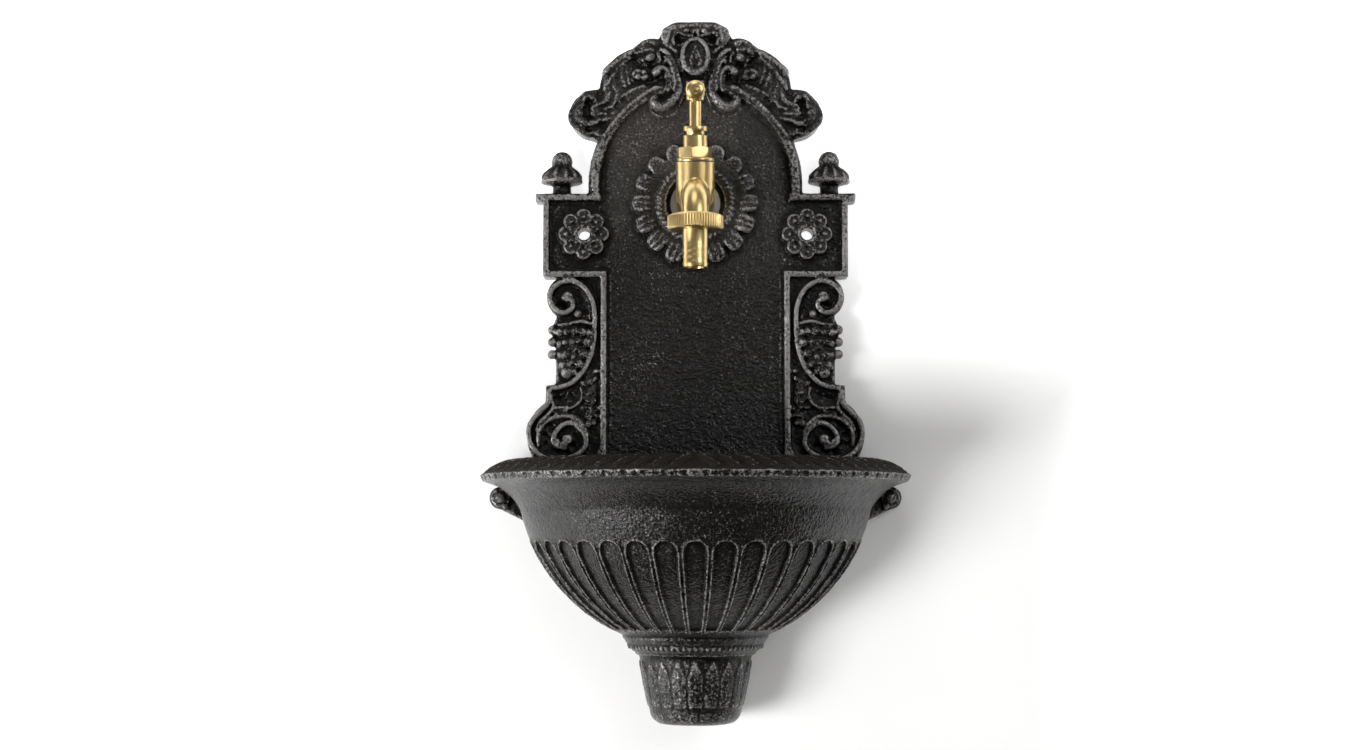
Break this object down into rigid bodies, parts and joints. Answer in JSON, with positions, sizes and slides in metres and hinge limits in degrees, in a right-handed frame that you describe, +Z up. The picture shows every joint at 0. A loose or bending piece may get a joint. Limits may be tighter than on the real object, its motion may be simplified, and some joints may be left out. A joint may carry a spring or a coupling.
{
  "type": "wall-hung garden fountain",
  "caption": "Cast iron wall fountain: arched ornamental back panel, half-round gadrooned bowl on a hollow neck, and a brass bib tap with tee handle and hose union.",
  "frame": {"origin": "on the wall plane, midway between the two wall screw holes", "axes": "+Z up, +Y into the wall so the front faces -Y, +X to the right of a viewer in front"},
  "size_m": [0.2456, 0.1668, 0.4069],
  "materials": {
    "iron": "black paint over rough cast iron, silver-grey rubbed edges",
    "zinc_steel": "zinc plated",
    "brass": "turned and lightly polished",
    "seal_rubber": "matt"
  },
  "bodies": {
    "fountain": {"back_panel": "iron", "basin": "iron", "basin_bolts": "zinc_steel", "basin_bolt_washers": "seal_rubber", "basin_nuts": "zinc_steel", "tap_body": "brass", "tap_face_washer": "zinc_steel", "tap_back_washer": "zinc_steel", "tap_backnut": "brass", "bonnet": "brass", "bonnet_gasket": "seal_rubber", "gland_packing": "seal_rubber", "gland_nut": "brass"},
    "valve": {"valve_jumper": "brass", "valve_washer": "seal_rubber", "jumper_nut": "brass"},
    "handle": {"spindle": "brass", "t_bar": "brass"},
    "tail": {"hose_tail": "brass", "hose_seal": "seal_rubber"},
    "union": {"union_nut": "brass"}
  },
  "joints": [
    {"name": "valve_lift", "type": "slide", "parent": "fountain", "child": "valve", "axis": [0, -0.1392, 0.9903], "range_m": [0, 0.004]},
    {"name": "handle_turn", "type": "hinge", "parent": "valve", "child": "handle", "pos_m": [0, -0.052, 0.018], "axis": [0, -0.1392, 0.9903], "range_deg": [0, 720]},
    {"name": "tail_drop", "type": "slide", "parent": "fountain", "child": "tail", "axis": [0, 0, -1], "range_m": [0, 0.00363]},
    {"name": "union_turn", "type": "hinge", "parent": "tail", "child": "union", "pos_m": [0, -0.074, 0], "axis": [0, 0, -1], "range_deg": [0, 720]}
  ],
  "couplings": [
    {"joint": "valve_lift", "follows": "handle_turn", "m_per_rad": 0.00031831},
    {"joint": "tail_drop", "follows": "union_turn", "m_per_rad": 0.00028871}
  ]
}
